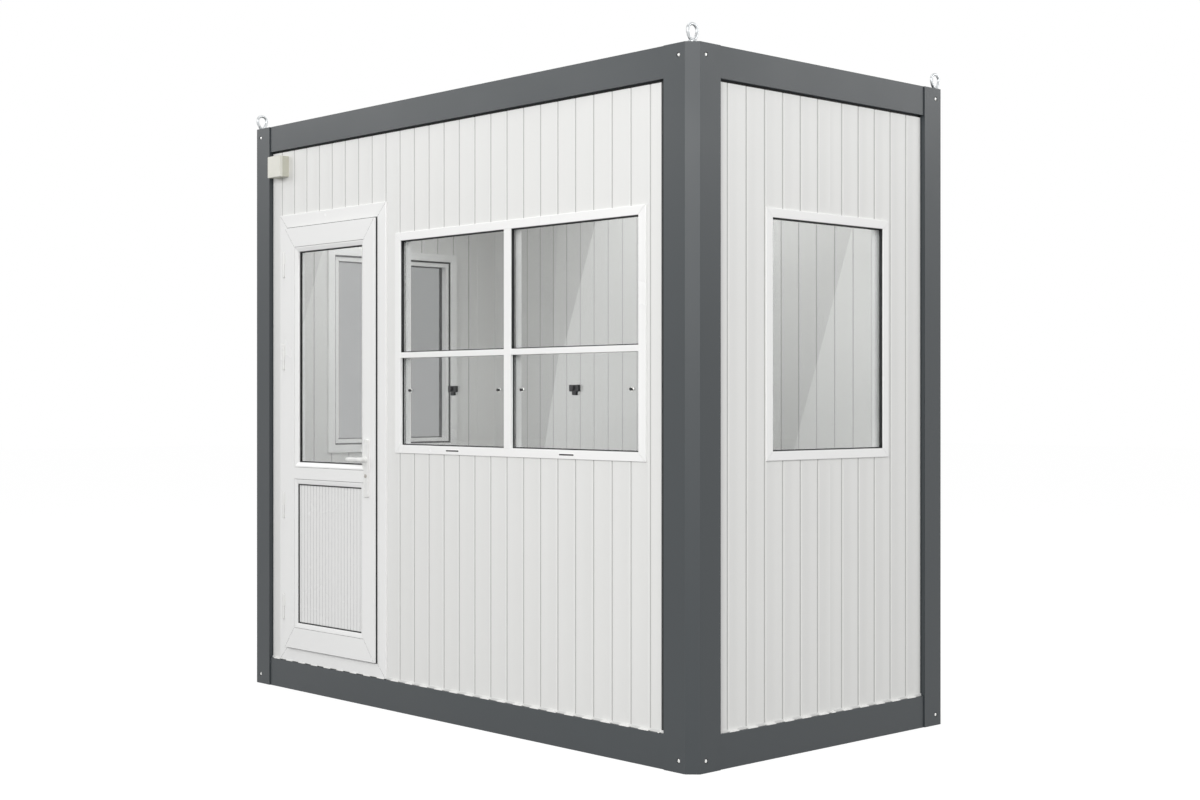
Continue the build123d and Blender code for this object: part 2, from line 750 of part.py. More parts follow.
with BuildPart() as hinge_leaf_halves:
    for z in hinge_heights:
        low = z - hinge_length / 2
        top = z + hinge_length / 2
        with Locations((hinge_x, hinge_axis_y, top)):
            Cylinder(barrel_radius, knuckle, align=(Align.CENTER, Align.CENTER, Align.MAX))
        wing = (hinge_x, lip_edges[0] + hinge_wing_width, top - knuckle, top)
        slab(front_plane, wing, leaf_proud, leaf_proud + hinge_wing_thickness)
        with Locations((hinge_x, hinge_axis_y, top)):
            Cylinder(hinge_pin_diameter / 2 + hinge_pin_clearance, knuckle,
                     align=(Align.CENTER, Align.CENTER, Align.MAX), mode=Mode.SUBTRACT)
write(hinge_leaf_halves.part, "hinge_leaf_halves")

# Junction box on the front wall, with its lid
box_edges = (box_left, box_left + box_width, box_bottom, box_bottom + box_height)
with BuildPart() as junction_box:
    slab(front_plane, box_edges, 0, box_depth - box_lid_depth)
    fillet(junction_box.edges().filter_by(Axis.Y), box_corner)
write(junction_box.part, "junction_box")
with BuildPart() as junction_box_lid:
    slab(front_plane, box_edges, box_depth - box_lid_depth, box_depth)
    fillet(junction_box_lid.edges().filter_by(Axis.Y), box_corner)
write(junction_box_lid.part, "junction_box_lid")
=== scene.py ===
"""Looks of the security guard booth: finishes, profiles, seals, fittings, light and camera."""

import bpy
import numpy as np
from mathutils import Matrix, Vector


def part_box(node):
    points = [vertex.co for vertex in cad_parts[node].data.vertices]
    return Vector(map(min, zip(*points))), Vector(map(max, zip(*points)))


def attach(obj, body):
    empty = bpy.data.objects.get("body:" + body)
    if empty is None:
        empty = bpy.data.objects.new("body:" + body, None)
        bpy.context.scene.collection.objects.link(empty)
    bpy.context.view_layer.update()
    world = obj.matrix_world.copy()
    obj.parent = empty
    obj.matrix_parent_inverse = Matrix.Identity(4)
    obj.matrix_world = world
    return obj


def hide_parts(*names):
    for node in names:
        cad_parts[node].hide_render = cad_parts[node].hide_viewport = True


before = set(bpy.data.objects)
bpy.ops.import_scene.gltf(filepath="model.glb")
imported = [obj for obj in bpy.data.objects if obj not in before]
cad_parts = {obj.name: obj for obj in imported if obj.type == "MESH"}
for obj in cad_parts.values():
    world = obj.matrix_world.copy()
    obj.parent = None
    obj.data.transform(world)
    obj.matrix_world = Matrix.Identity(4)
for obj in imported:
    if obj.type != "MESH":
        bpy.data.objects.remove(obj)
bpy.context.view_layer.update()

# Sizes in metres, read from the CAD nodes where a node gives them
FRONT_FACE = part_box("front_wall_left")[0].y
END_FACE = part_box("right_wall")[1].x
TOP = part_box("post_front_right")[1].z
POST_OUT_X, POST_OUT_Y = -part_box("post_front_left")[0].x, -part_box("post_front_left")[0].y
POST_FACE = 0.145
BOLT_INSET, BOLT_FROM_END = 0.070, 0.043
EYE_INSET = 0.032
WINDOW_PROUD, WINDOW_BACK = 0.006, -0.054
WINDOW_SIDE, WINDOW_EDGE = 0.038, 0.035
MULLION, TRANSOM = (0.388, 0.431), (1.506, 1.530)
WINDOW_GLASS = (-0.021, -0.015)
DOOR_PROUD, DOOR_BACK, DOOR_REBATE, DOOR_STOP = 0.008, -0.050, 0.072, 0.016
STOP_FRONT = -0.041
LEAF_PROUD, LEAF_LIP_BACK, LEAF_BACK = 0.024, 0.013, -0.036
LEAF_STILE, LEAF_TOP, LEAF_FOOT = 0.100, 0.112, 0.118
MID_RAIL = (0.945, 1.044)
BEAD, PLATE = 0.023, 0.008
DOOR_GLASS = (-0.003, 0.003)
INFILL = (-0.012, 0.012)
INFILL_MIDDLE = (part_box("door_infill_panel")[0].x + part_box("door_infill_panel")[1].x) / 2
LOCK_X = -0.511
SPINDLE_Z, CYLINDER_Z = 1.070, 0.998
HINGE_HEIGHTS = (0.378, 0.844, 1.525, 1.950)
HINGE_LENGTH, HINGE_RADIUS = 0.117, 0.0075
GROOVE_PITCH, LONG_GROOVE, END_JOINT = 0.101, 1.208, 0.029
END_GROOVES = (-0.043, 0.101)
# Lever: how far the grip stands off the plate, radius of its bend, length and section
LEVER_REACH, LEVER_BEND, LEVER_GRIP, LEVER_SECTION = 0.035, 0.014, 0.082, (0.0185, 0.0135)
LATCH_HALF, LATCH_HEIGHTS = 0.025, (1.360, 1.386)
TAB_HALF, TAB_HEIGHTS = 0.011, (1.346, 1.3605)
LATCH_KNOB_Z, SIDE_KNOB_Z = 1.374, 1.368
SIDE_KNOB_INSETS = (0.048, 0.052)
DRAIN_MIDDLES, DRAIN_HALF, DRAIN_FROM_FOOT = (0.060, 0.760), 0.041, (0.0135, 0.0190)
LID_BACK, BOX_PROUD = 0.0352, 0.050
# Flashing's tongues: height of their middle, how far they start from the wall's face, and
# the same under the door frame
TONGUE_Z, TONGUE_OUT, TONGUE_OUT_DOOR = 0.1293, 0.0017, 0.0083
# Inner casings: edges from the pane's opening, back on the window frame and on the wall, face
CASING_FROM, CASING_TO = 0.027, 0.065
CASING_ON_FRAME, CASING_ON_WALL, CASING_FACE = -0.0542, -0.0505, -0.066
# Lifting eyes: the ring's half width and its growth, middle above the post, half height, bar
RING_HALF, RING_GROWTH, RING_MIDDLE, RING_RISE, RING_BAR = 0.0235, 0.0058, 0.0362, 0.0290, 0.0125
FOAM_BACK, FOAM_FRONT = -0.030, -0.006
# From a pane to what seals it, and the thickness of the black sleeve in a window's reveal
GLASS_GAP, SLEEVE = 0.0002, 0.0012
# Half of a mitre's open joint, drawn 1.4 mm wide in all so that it shows, and half of the
# dark seam that lies in the door's mitres
MITRE, SEAM = 0.0007, 0.0006
CAMERA_PLACE = (5.760, -5.238, 1.3277)
CAMERA_TURN, CAMERA_LENS = 46.916, 52.88


def linear(hex_text):
    """Linear colour of an sRGB hex value: the inverse of the sRGB curve on each channel."""
    value = np.array([int(hex_text[i:i + 2], 16) for i in (0, 2, 4)]) / 255
    value = np.where(value <= 0.04045, value / 12.92, ((value + 0.055) / 1.055) ** 2.4)
    return (*value.tolist(), 1.0)


def add(tree, kind, inputs=None, **settings):
    """Add one node with its settings; inputs are socket values or the outputs that feed them."""
    made = tree.nodes.new(kind)
    for key, value in settings.items():
        setattr(made, key, value)
    for socket, value in (inputs or {}).items():
        if isinstance(value, bpy.types.NodeSocket):
            tree.links.new(value, made.inputs[socket])
        else:
            made.inputs[socket].default_value = value
    return made


def blank_material(name):
    """New material and its empty node tree."""
    material = bpy.data.materials.new(name)
    material.use_nodes = True
    material.node_tree.nodes.clear()
    return material, material.node_tree


def place_object(name, data):
    """New object with its data, linked to the scene."""
    made = bpy.data.objects.new(name, data)
    bpy.context.scene.collection.objects.link(made)
    return made


def finish(name, colour, other, size, roughness, metallic=0.0, ior=1.5, relief=0.0,
           grain=None, spread=0.04, grooves=None, dish=0.0):
    """Material whose colour drifts between two hex values over patches of about `size` metres.

    Roughness drifts by `spread` over the same patches, and a finer noise of `grain` metres
    raises a relief of `relief` metres. `grooves` is (axis, pitch, start, half width, shade hex,
    joint): painted shade darkens each groove's line, and the sheet between two grooves is
    pressed in by `dish` metres.
    """
    material, tree = blank_material(name)
    place = add(tree, "ShaderNodeTexCoord").outputs["Object"]
    patches = add(tree, "ShaderNodeTexNoise",
                  {"Vector": place, "Scale": 1 / size, "Detail": 3.0, "Roughness": 0.55})
    base = add(tree, "ShaderNodeMix", {0: patches.outputs["Fac"], 6: linear(colour),
                                       7: linear(other)}, data_type="RGBA").outputs[2]
    normal = None
    if grooves:
        from_line = groove_distance(tree, place, *grooves[:3], joint=grooves[5])
        # Painted shade: each groove's line is darkened towards the shade colour
        groove_shade = add(tree, "ShaderNodeMapRange",
                   {0: from_line, 1: grooves[3] * 0.4, 2: grooves[3], 3: 1.0, 4: 0.0},
                   interpolation_type="SMOOTHSTEP").outputs[0]
        base = add(tree, "ShaderNodeMix", {0: groove_shade, 6: base, 7: linear(grooves[4])},
                   data_type="RGBA").outputs[2]
        if dish:
            depth = add(tree, "ShaderNodeMapRange",
                        {0: from_line, 1: grooves[3], 2: grooves[1] / 2, 3: 1.0, 4: 0.0},
                        interpolation_type="SMOOTHSTEP").outputs[0]
            normal = add(tree, "ShaderNodeBump", {"Height": depth, "Distance": dish}).outputs[0]
    if relief:
        fine = add(tree, "ShaderNodeTexNoise",
                   {"Vector": place, "Scale": 1 / (grain or size), "Detail": 2.0})
        bump = add(tree, "ShaderNodeBump", {"Height": fine.outputs["Fac"], "Distance": relief})
        if normal:
            tree.links.new(normal, bump.inputs["Normal"])
        normal = bump.outputs[0]
    sheen = add(tree, "ShaderNodeMapRange",
                {"Value": patches.outputs["Fac"], "From Min": 0.3, "From Max": 0.7,
                 "To Min": roughness - spread, "To Max": roughness + spread})
    shader = add(tree, "ShaderNodeBsdfPrincipled",
                 {"Base Color": base, "Roughness": sheen.outputs["Result"],
                  "Metallic": metallic, "IOR": ior})
    if normal:
        tree.links.new(normal, shader.inputs["Normal"])
    add(tree, "ShaderNodeOutputMaterial", {"Surface": shader.outputs["BSDF"]})
    return material


def groove_distance(tree, place, axis, pitch, start, joint=None):
    """Distance from the nearest groove: |v - start| wrapped to half a pitch either way.

    Past a panel joint the grooves start anew, so there the start changes to the joint's own.
    """
    along = add(tree, "ShaderNodeSeparateXYZ", {0: place}).outputs[axis]
    if joint:
        past = add(tree, "ShaderNodeMath", {0: along, 1: joint[0]}, operation="GREATER_THAN")
        start = add(tree, "ShaderNodeMath", {0: past.outputs[0], 1: joint[1] - start, 2: start},
                    operation="MULTIPLY_ADD").outputs[0]
    shifted = add(tree, "ShaderNodeMath", {0: along, 1: start}, operation="SUBTRACT")
    wrapped = add(tree, "ShaderNodeMath", {0: shifted.outputs[0], 1: pitch / 2, 2: -pitch / 2},
                  operation="WRAP")
    return add(tree, "ShaderNodeMath", {0: wrapped.outputs[0]}, operation="ABSOLUTE").outputs[0]


def seen_directly(tree):
    """1 where the camera, gloss or glass sees the surface, and 0 for the light on the object."""
    path = add(tree, "ShaderNodeLightPath")
    seen = add(tree, "ShaderNodeMath", {0: path.outputs["Is Camera Ray"],
                                        1: path.outputs["Is Glossy Ray"]}, operation="MAXIMUM")
    return add(tree, "ShaderNodeMath", {0: seen.outputs[0],
                                        1: path.outputs["Is Transmission Ray"]},
               operation="MAXIMUM").outputs[0]


def clear_glass(name, tint, lamp_tint):
    """Float glass, smooth, IOR 1.52, and lamps shine through it onto what is behind.

    A lamp's ray is tinted at both faces, so lamp_tint is the root of the whole pane's tint.
    """
    material, tree = blank_material(name)
    place = add(tree, "ShaderNodeTexCoord").outputs["Object"]
    film = add(tree, "ShaderNodeTexNoise", {"Vector": place, "Scale": 3.0, "Detail": 2.0})
    sheen = add(tree, "ShaderNodeMapRange",
                {"Value": film.outputs["Fac"], "To Min": 0.0, "To Max": 0.004})
    shader = add(tree, "ShaderNodeBsdfPrincipled",
                 {"Base Color": linear(tint), "Roughness": sheen.outputs["Result"],
                  "IOR": 1.52, "Transmission Weight": 1.0})
    open_way = add(tree, "ShaderNodeBsdfTransparent", {"Color": linear(lamp_tint)})
    ray = add(tree, "ShaderNodeLightPath").outputs["Is Shadow Ray"]
    mixed = add(tree, "ShaderNodeMixShader",
                {0: ray, 1: shader.outputs[0], 2: open_way.outputs[0]})
    add(tree, "ShaderNodeOutputMaterial", {"Surface": mixed.outputs[0]})
    return material


# Folded steel in satin anthracite powder coat: fine orange peel, soft wide highlight
powder_coat = finish("anthracite_powder_coat", "383D40", "3C4144", 0.6, 0.42, relief=0.00006,
                     grain=0.0025)
# Coil-coated steel sheet: near white and satin, with painted shade darkening each groove's line,
# and pressed in between them, 2.4 mm so that it shows; the painted shade is drawn 7 mm wide for
# the same reason
SHEET = {"size": 0.5, "roughness": 0.42, "relief": 0.00005, "grain": 0.004}
coil_coat = finish("white_coil_coated_steel", "EBEBE9", "E8E8E6", **SHEET, dish=0.0024,
                   grooves=(0, GROOVE_PITCH, LONG_GROOVE, 0.0036, "B6B6B4", None))
end_coil_coat = finish("white_coil_coated_steel_ends", "EBEBE9", "E8E8E6", **SHEET, dish=0.0024,
                       grooves=(1, GROOVE_PITCH, END_GROOVES[0], 0.0036, "B6B6B4",
                                (END_JOINT, END_GROOVES[1])))
# Roof, flashing and corner linings: the same sheet without grooves
plain_coil_coat = finish("white_coil_coated_sheet", "EBEBE9", "E6E6E4", **SHEET)
# Extruded uPVC: pure white, smooth, semi-gloss
UPVC = {"size": 0.3, "ior": 1.53, "relief": 0.00002, "grain": 0.006}
upvc = finish("white_upvc", "F6F6F5", "F3F3F2", roughness=0.24, **UPVC)
# The windows' uPVC: brighter white than the door's
window_upvc = finish("bright_white_upvc", "FAFAF9", "F7F7F6", roughness=0.24, **UPVC)
# White powder coat on small fittings and trims: glossier than the sheet
white_lacquer = finish("white_powder_coat", "EEEEEC", "EAEAE8", 0.08, 0.28, relief=0.00002,
                       grain=0.0015)
# EPDM rubber: black, matt, with a dusty bloom
rubber = finish("black_epdm_rubber", "101112", "191A1B", 0.05, 0.62, ior=1.52, relief=0.00004,
                grain=0.0012)
# Moulded black nylon: fine spark texture
nylon = finish("black_moulded_nylon", "1B1C1D", "242526", 0.02, 0.45, ior=1.53,
               relief=0.00004, grain=0.0008)
# Hot-dip galvanised steel: bright with cloudy spangle about 12 mm across
galvanised = finish("galvanised_steel", "C8CACB", "B2B5B7", 0.012, 0.34, metallic=1.0,
                    relief=0.00003, grain=0.003, spread=0.08)
# Ribbed uPVC infill: as the frame, with a shadow line 3 mm wide in each fine groove
infill_upvc = finish("white_ribbed_upvc", "EFEFEE", "ECECEB", roughness=0.26, **UPVC,
                     grooves=(0, 0.024, INFILL_MIDDLE + 0.012, 0.0018, "A8A8A7", None))
# Zinc-plated screws: bright and smoother than the galvanised rings
zinc = finish("zinc_plated_steel", "E6E6E4", "DADAD8", 0.006, 0.22, metallic=1.0)
# Nickel-plated brass of the lock cylinder: fine turning marks
nickel = finish("nickel_plated_brass", "B9B6B0", "A9A6A0", 0.004, 0.25, metallic=1.0,
                relief=0.00002, grain=0.0006)
# Cement-bonded board: pale grey-brown, matt, with coarse chips
board = finish("cement_bonded_board", "A39A8C", "857C6E", 0.02, 0.85, relief=0.0003,
               grain=0.004)
# Homogeneous vinyl: mid grey with a light fleck about 8 mm across
vinyl = finish("grey_vinyl_flooring", "8B8D8E", "7A7C7D", 0.008, 0.5, relief=0.00004,
               grain=0.002)
# Moulded ABS of the junction box: warm beige, satin
abs_plastic = finish("beige_moulded_abs", "E4E3DA", "DEDDD3", 0.06, 0.4, ior=1.54,
                     relief=0.00004, grain=0.001)
# The junction box's base is of the same ABS, a shade darker
abs_base = finish("grey_beige_moulded_abs", "CBCABC", "C3C2B4", 0.06, 0.45, ior=1.54,
                  relief=0.00004, grain=0.001)
# Double glazing of neutral grey float glass, which passes a little over half of the light
glass = clear_glass("grey_float_glass", "C3C4C4", "DFE0E0")

NODE_FINISH = {
    "post_": powder_coat, "top_rail_": powder_coat, "bottom_rail_": powder_coat,
    "floor_joists": powder_coat, "front_wall_": coil_coat, "back_wall": coil_coat,
    "right_wall": end_coil_coat, "left_wall": end_coil_coat, "roof_panel": plain_coil_coat,
    "base_flashing": plain_coil_coat, "corner_linings": plain_coil_coat,
    "floor_deck": board, "floor_covering": vinyl, "lifting_eyes": galvanised,
    "front_window_frame": window_upvc, "right_window_frame": window_upvc,
    "left_window_frame": window_upvc,
    "front_window_glass": glass, "hatch_glass": glass, "right_window_glass": glass,
    "left_window_glass": glass, "door_glass": glass, "hatch_latches": nylon,
    "door_frame": upvc, "door_leaf": upvc, "door_infill_panel": infill_upvc,
    "backplate_": white_lacquer, "lever_outside": white_lacquer,
    "lever_inside": white_lacquer, "lever_spindle": zinc, "lock_cylinder": nickel,
    "hinge_": white_lacquer, "junction_box_lid": abs_plastic, "junction_box": abs_base,
}
# The first key that a node's name starts with gives its finish
for name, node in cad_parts.items():
    chosen = next(value for key, value in NODE_FINISH.items() if name.startswith(key))
    node.data.materials.clear()
    node.data.materials.append(chosen)


def on_wall(side, points):
    """World points of (along, up, out) points on a wall's outer face: three linear maps."""
    along, up, out = np.moveaxis(np.asarray(points, float), -1, 0)
    if side == "front":
        world = (along, FRONT_FACE - out, up)
    elif side == "back":
        world = (-along, -FRONT_FACE + out, up)
    elif side == "right":
        world = (END_FACE + out, along, up)
    else:
        world = (-END_FACE - out, -along, up)
    return np.stack(world, -1)


def skin(points, around=True, along=False, ends=True):
    """Vertices and faces of a grid of points with shape (rows, columns, 3).

    Each face joins four neighbours; `around` closes the columns, `along` closes the rows,
    and `ends` caps the first and last row. Faces are turned so that the volume inside,
    the sum of each face's signed cone to the origin, is positive.
    """
    rows, columns = points.shape[:2]
    index = np.arange(rows * columns).reshape(rows, columns)
    near = index if along else index[:-1]
    far = np.roll(index, -1, 0) if along else index[1:]
    if around:
        near_next, far_next = np.roll(near, -1, 1), np.roll(far, -1, 1)
    else:
        near, near_next = near[:, :-1], near[:, 1:]
        far, far_next = far[:, :-1], far[:, 1:]
    quads = np.stack((near, near_next, far_next, far), -1).reshape(-1, 4)
    flat = points.reshape(-1, 3)
    centre = flat.mean(0)
    a, b, c, d = (flat[quads[:, i]] - centre for i in range(4))
    volume = np.einsum("ij,ij->", a, np.cross(b, c)) + np.einsum("ij,ij->", a, np.cross(c, d))
    caps = [index[0][::-1].tolist(), index[-1].tolist()] if ends and not along else []
    faces = quads.tolist() + caps
    if volume < 0:
        faces = [face[::-1] for face in faces]
    return flat, faces


def piece(name, shapes, material, body="cabin", stands_for=(), sharp=32):
    """One mesh object from several (vertices, faces) shapes, riding on a CAD body."""
    vertices, faces, start = [], [], 0
    for points, polygons in shapes:
        vertices.append(points)
        faces.extend([[corner + start for corner in polygon] for polygon in polygons])
        start += len(points)
    mesh = bpy.data.meshes.new(name)
    mesh.from_pydata(np.concatenate(vertices), [], faces)
    mesh.shade_smooth()
    mesh.set_sharp_from_angle(angle=np.radians(sharp))
    made = place_object(name, mesh)
    mesh.materials.append(material)
    # Normals weighted by face area keep the wide faces flat beside their rounded edges
    flat = made.modifiers.new("flat_faces", "WEIGHTED_NORMAL")
    flat.keep_sharp = True
    flat.weight = 90
    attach(made, body)
    if stands_for:
        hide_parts(*stands_for)
    return made


def rounded(corners, radius, steps=3):
    """Closed outline with its corners rounded.

    Each corner becomes the curve (1-t)^2 A + 2t(1-t) C + t^2 B between the points A and B
    that lie the corner's reach before and after it; the reach is radius x tan(turn / 2).
    """
    corners = np.asarray(corners, float)
    radius = np.broadcast_to(np.asarray(radius, float), len(corners))
    into = corners - np.roll(corners, 1, 0)
    into /= np.linalg.norm(into, axis=1, keepdims=True)
    out = np.roll(into, -1, 0)
    turn = np.arccos(np.clip((into * out).sum(1), -1, 1))
    reach = (radius * np.tan(turn / 2))[:, None]
    t = np.linspace(0, 1, steps + 1)[None, :, None]
    first, last = (corners - into * reach)[:, None], (corners + out * reach)[:, None]
    curve = (1 - t) ** 2 * first + 2 * t * (1 - t) * corners[:, None] + t ** 2 * last
    return curve.reshape(-1, corners.shape[1])


def mitred_frame(side, edges, profile, widths=(0, 0, 0, 0), joint=0.0):
    """Four members round a rectangle, each a profile carried straight between two mitres.

    A profile point (share, more, out) lies share x the member's width + more in from the
    outer edge, and a point (more, out) has no share. Each end of a member is moved along it by
    the neighbour's inset of the same point plus the joint, so the two meet on the mitre.
    widths are those of the left, bottom, right and top member.
    """
    left, right, bottom, top = edges
    corners = np.array([(left, top), (left, bottom), (right, bottom), (right, top)])
    profile = np.asarray(profile, float)
    if profile.shape[1] == 2:
        profile = np.insert(profile, 0, 0.0, axis=1)
    insets = np.asarray(widths, float)[:, None] * profile[None, :, 0] + profile[None, :, 1]
    shapes = []
    for number in range(4):
        start, end = corners[number], corners[(number + 1) % 4]
        run = (end - start) / np.linalg.norm(end - start)
        inward = np.array((-run[1], run[0]))
        own = insets[number][:, None] * inward
        rings = [start + run * (insets[number - 1][:, None] + joint) + own,
                 end - run * (insets[(number + 1) % 4][:, None] + joint) + own]
        rings = np.stack(rings)
        out = np.broadcast_to(profile[:, 2], rings.shape[:2])
        shapes.append(skin(on_wall(side, np.concatenate((rings, out[..., None]), -1))))
    return shapes


def bar(side, start, end, profile):
    """Straight member: a closed (across, out) profile carried from start to end.

    start and end are (along, up) points; across is measured to the left of the run.
    """
    start, end, profile = (np.asarray(value, float) for value in (start, end, profile))
    run = (end - start) / np.linalg.norm(end - start)
    across = profile[:, :1] * np.array((-run[1], run[0]))
    rings = np.stack((start + across, end + across))
    out = np.broadcast_to(profile[:, 1], rings.shape[:2])
    return skin(on_wall(side, np.concatenate((rings, out[..., None]), -1)))


def pad(side, edges, back, front, corner, edge, steps=3):
    """Block with rounded corners and a rounded front edge.

    The rounded rectangle goes straight out from back, then its inset grows as
    edge x (1 - cos t) while it rises by edge x sin t, t from 0 to 90 degrees.
    """
    left, right, bottom, top = edges
    t = np.linspace(0, np.pi / 2, steps + 1)
    insets = np.concatenate(([0.0], edge * (1 - np.cos(t))))
    outs = np.concatenate(([back], front - edge + edge * np.sin(t)))
    rings = []
    for inset, out in zip(insets, outs):
        ring = rounded([(left + inset, bottom + inset), (right - inset, bottom + inset),
                        (right - inset, top - inset), (left + inset, top - inset)],
                       max(corner - inset, 0.0002), 4)
        rings.append(np.column_stack((ring, np.full(len(ring), out))))
    return skin(on_wall(side, np.stack(rings)))


def turned(origin, axis, profile, count=24):
    """Turned shape: each (radius, height) point runs round the axis on a circle."""
    axis = np.asarray(axis, float) / np.linalg.norm(axis)
    other = np.array((0, 0, 1.0)) if abs(axis[2]) < 0.9 else np.array((1.0, 0, 0))
    u = np.cross(axis, other)
    u /= np.linalg.norm(u)
    v = np.cross(axis, u)
    angle = np.linspace(0, 2 * np.pi, count, endpoint=False)
    profile = np.asarray(profile, float)
    circle = np.cos(angle)[:, None] * u + np.sin(angle)[:, None] * v
    points = (np.asarray(origin, float) + profile[:, 0, None, None] * circle[None]
              + profile[:, 1, None, None] * axis)
    return skin(points)


def tube(path, section, normal, scale=None, closed=False):
    """Section carried along a path that lies in one plane.

    At each path point the section's first axis is the plane's normal and its second is the
    normal x the path's direction; scale multiplies the section point by point.
    """
    path, section, normal = (np.asarray(value, float) for value in (path, section, normal))
    if closed:
        run = np.roll(path, -1, 0) - np.roll(path, 1, 0)
    else:
        run = np.gradient(path, axis=0)
    run /= np.linalg.norm(run, axis=1, keepdims=True)
    across = np.cross(normal, run)
    scale = np.ones(len(path)) if scale is None else np.asarray(scale, float)
    points = path[:, None] + scale[:, None, None] * (
        section[None, :, :1] * normal + section[None, :, 1:] * across[:, None])
    return skin(points, along=closed)


def ellipse(width, height, count=16):
    """Points of an ellipse: (w/2 cos a, h/2 sin a)."""
    angle = np.linspace(0, 2 * np.pi, count, endpoint=False)
    return np.column_stack((width / 2 * np.cos(angle), height / 2 * np.sin(angle)))


def shrunk(edges, sides, bottom, top):
    """Rectangle moved in by a border on the sides, at the bottom and at the top."""
    return (edges[0] + sides, edges[1] - sides, edges[2] + bottom, edges[3] - top)


def node_edges(name, side):
    """Along and up edges of a CAD node on its wall."""
    low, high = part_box(name)
    if side == "front":
        return (low.x, high.x, low.z, high.z)
    if side == "right":
        return (low.y, high.y, low.z, high.z)
    return (-high.y, -low.y, low.z, high.z)


# Window frames: welded uPVC members with rounded edges, stepped reveals and mitred corners
def frame_profile(front, back, rim):
    """Member's outline in (share of width, more, out): square back, rounded face edges."""
    corners = [(0.0, back), (0.0, front), (1.0, front), (1.0, back)]
    soft = rounded([(x * 0.05, y) for x, y in corners], [0.0001, rim, rim, 0.0001], 3)
    share = (soft[:, 0] > 0.025).astype(float)
    more = soft[:, 0] - share * 0.05
    return np.column_stack((share, more, soft[:, 1]))


def window(side, joints):
    """Frame, mullion and transoms of one window, and the edges of its panes."""
    cad_frame = f"{side}_window_frame"
    edges = node_edges(cad_frame, side)
    border = WINDOW_SIDE if joints else WINDOW_EDGE
    widths = (border, WINDOW_EDGE, border, WINDOW_EDGE)
    profile = frame_profile(WINDOW_PROUD, WINDOW_BACK, 0.0025)
    shapes = mitred_frame(side, edges, profile, widths, MITRE)
    inner = shrunk(edges, border, WINDOW_EDGE, WINDOW_EDGE)
    panes = [inner]
    if joints:
        half = (MULLION[1] - MULLION[0]) / 2
        middle = sum(MULLION) / 2
        post = rounded([(-half, WINDOW_BACK), (half, WINDOW_BACK), (half, WINDOW_PROUD),
                        (-half, WINDOW_PROUD)], [0.0001, 0.0001, 0.0025, 0.0025], 3)
        shapes.append(bar(side, (middle, inner[2]), (middle, inner[3]), post))
        half = (TRANSOM[1] - TRANSOM[0]) / 2
        level = sum(TRANSOM) / 2
        front = WINDOW_PROUD - 0.0008
        rail = rounded([(-half, WINDOW_BACK), (half, WINDOW_BACK), (half, front),
                        (-half, front)], [0.0001, 0.0001, 0.0025, 0.0025], 3)
        shapes.append(bar(side, (inner[0], level), (MULLION[0], level), rail))
        shapes.append(bar(side, (MULLION[1], level), (inner[1], level), rail))
        panes = [(inner[0], MULLION[0], TRANSOM[1], inner[3]),
                 (MULLION[1], inner[1], TRANSOM[1], inner[3]),
                 (inner[0], MULLION[0], inner[2], TRANSOM[0]),
                 (MULLION[1], inner[1], inner[2], TRANSOM[0])]
    piece(f"{side}_window_members", shapes, window_upvc, stands_for=(cad_frame,))
    return panes


def gasket(side, pane, sleeve_from, sides=4):
    """Black seals of one pane: a sleeve down the reveal to the glass, and lips on the glass.

    The members are in the order left, bottom, right, top, and the lips outside are only at the
    bottom and top. A hatch pane has sides 3, so it has no seal at its top.
    """
    back, front = WINDOW_GLASS
    sleeve = [(0, sleeve_from), (SLEEVE, sleeve_from), (SLEEVE, front + GLASS_GAP),
              (0, front + GLASS_GAP)]
    outside = [(0, front + 0.0030), (SLEEVE, front + 0.0030), (0.0045, front + 0.0020),
               (0.0045, front + GLASS_GAP), (0, front + GLASS_GAP)]
    inside = [(0, back - GLASS_GAP), (0.0025, back - GLASS_GAP), (0.0025, back - 0.0015),
              (SLEEVE, back - 0.0025), (0, back - 0.0025)]
    lips = mitred_frame(side, pane, outside)
    return (mitred_frame(side, pane, sleeve)[:sides] + [lips[1]] + lips[3:sides]
            + mitred_frame(side, pane, inside)[:sides])


def casing(side, pane):
    """White trim round a window on the inner wall: 38 mm wide, with a step over the frame."""
    step = WINDOW_SIDE + 0.0006
    corners = [(CASING_FROM, CASING_ON_FRAME), (CASING_FROM, CASING_FACE),
               (CASING_TO, CASING_FACE), (CASING_TO, CASING_ON_WALL), (step, CASING_ON_WALL),
               (step, CASING_ON_FRAME)]
    soft = rounded([(-x, y) for x, y in corners], [0.0001, 0.002, 0.002, 0.0001, 0.0001, 0.0001],
                   3)
    return mitred_frame(side, pane, soft)


def casing_reveal_shadow(side, pane):
    """Black strip between the casing and the window frame's inner face, 8 mm wide: painted shadow
    in the reveal.
    """
    outer, inner = -CASING_FROM, 0.008 - CASING_FROM
    return mitred_frame(side, pane, [(outer, CASING_ON_FRAME), (outer, -0.0580),
                                     (inner, -0.0560), (inner, CASING_ON_FRAME)])


front_panes = window("front", True)
right_panes, left_panes = window("right", False), window("left", False)
seals = [shape for number, pane in enumerate(front_panes)
         for shape in (gasket("front", pane, 0.001) if number < 2
                       else gasket("front", pane, -0.006, 3))]
piece("front_window_gaskets", seals, rubber)
for side, panes in (("right", right_panes), ("left", left_panes)):
    piece(f"{side}_window_gaskets", gasket(side, panes[0], 0.001), rubber)
front_edges = node_edges("front_window_frame", "front")
front_inner = shrunk(front_edges, WINDOW_SIDE, WINDOW_EDGE, WINDOW_EDGE)
openings = (("front", front_inner), ("right", right_panes[0]), ("left", left_panes[0]))
piece("window_casings", [shape for opening in openings for shape in casing(*opening)],
      window_upvc)
# Black strips in the windows' inner reveals: painted shadow
piece("window_casing_painted_shadows", [shape for opening in openings for shape in casing_reveal_shadow(*opening)],
      rubber)

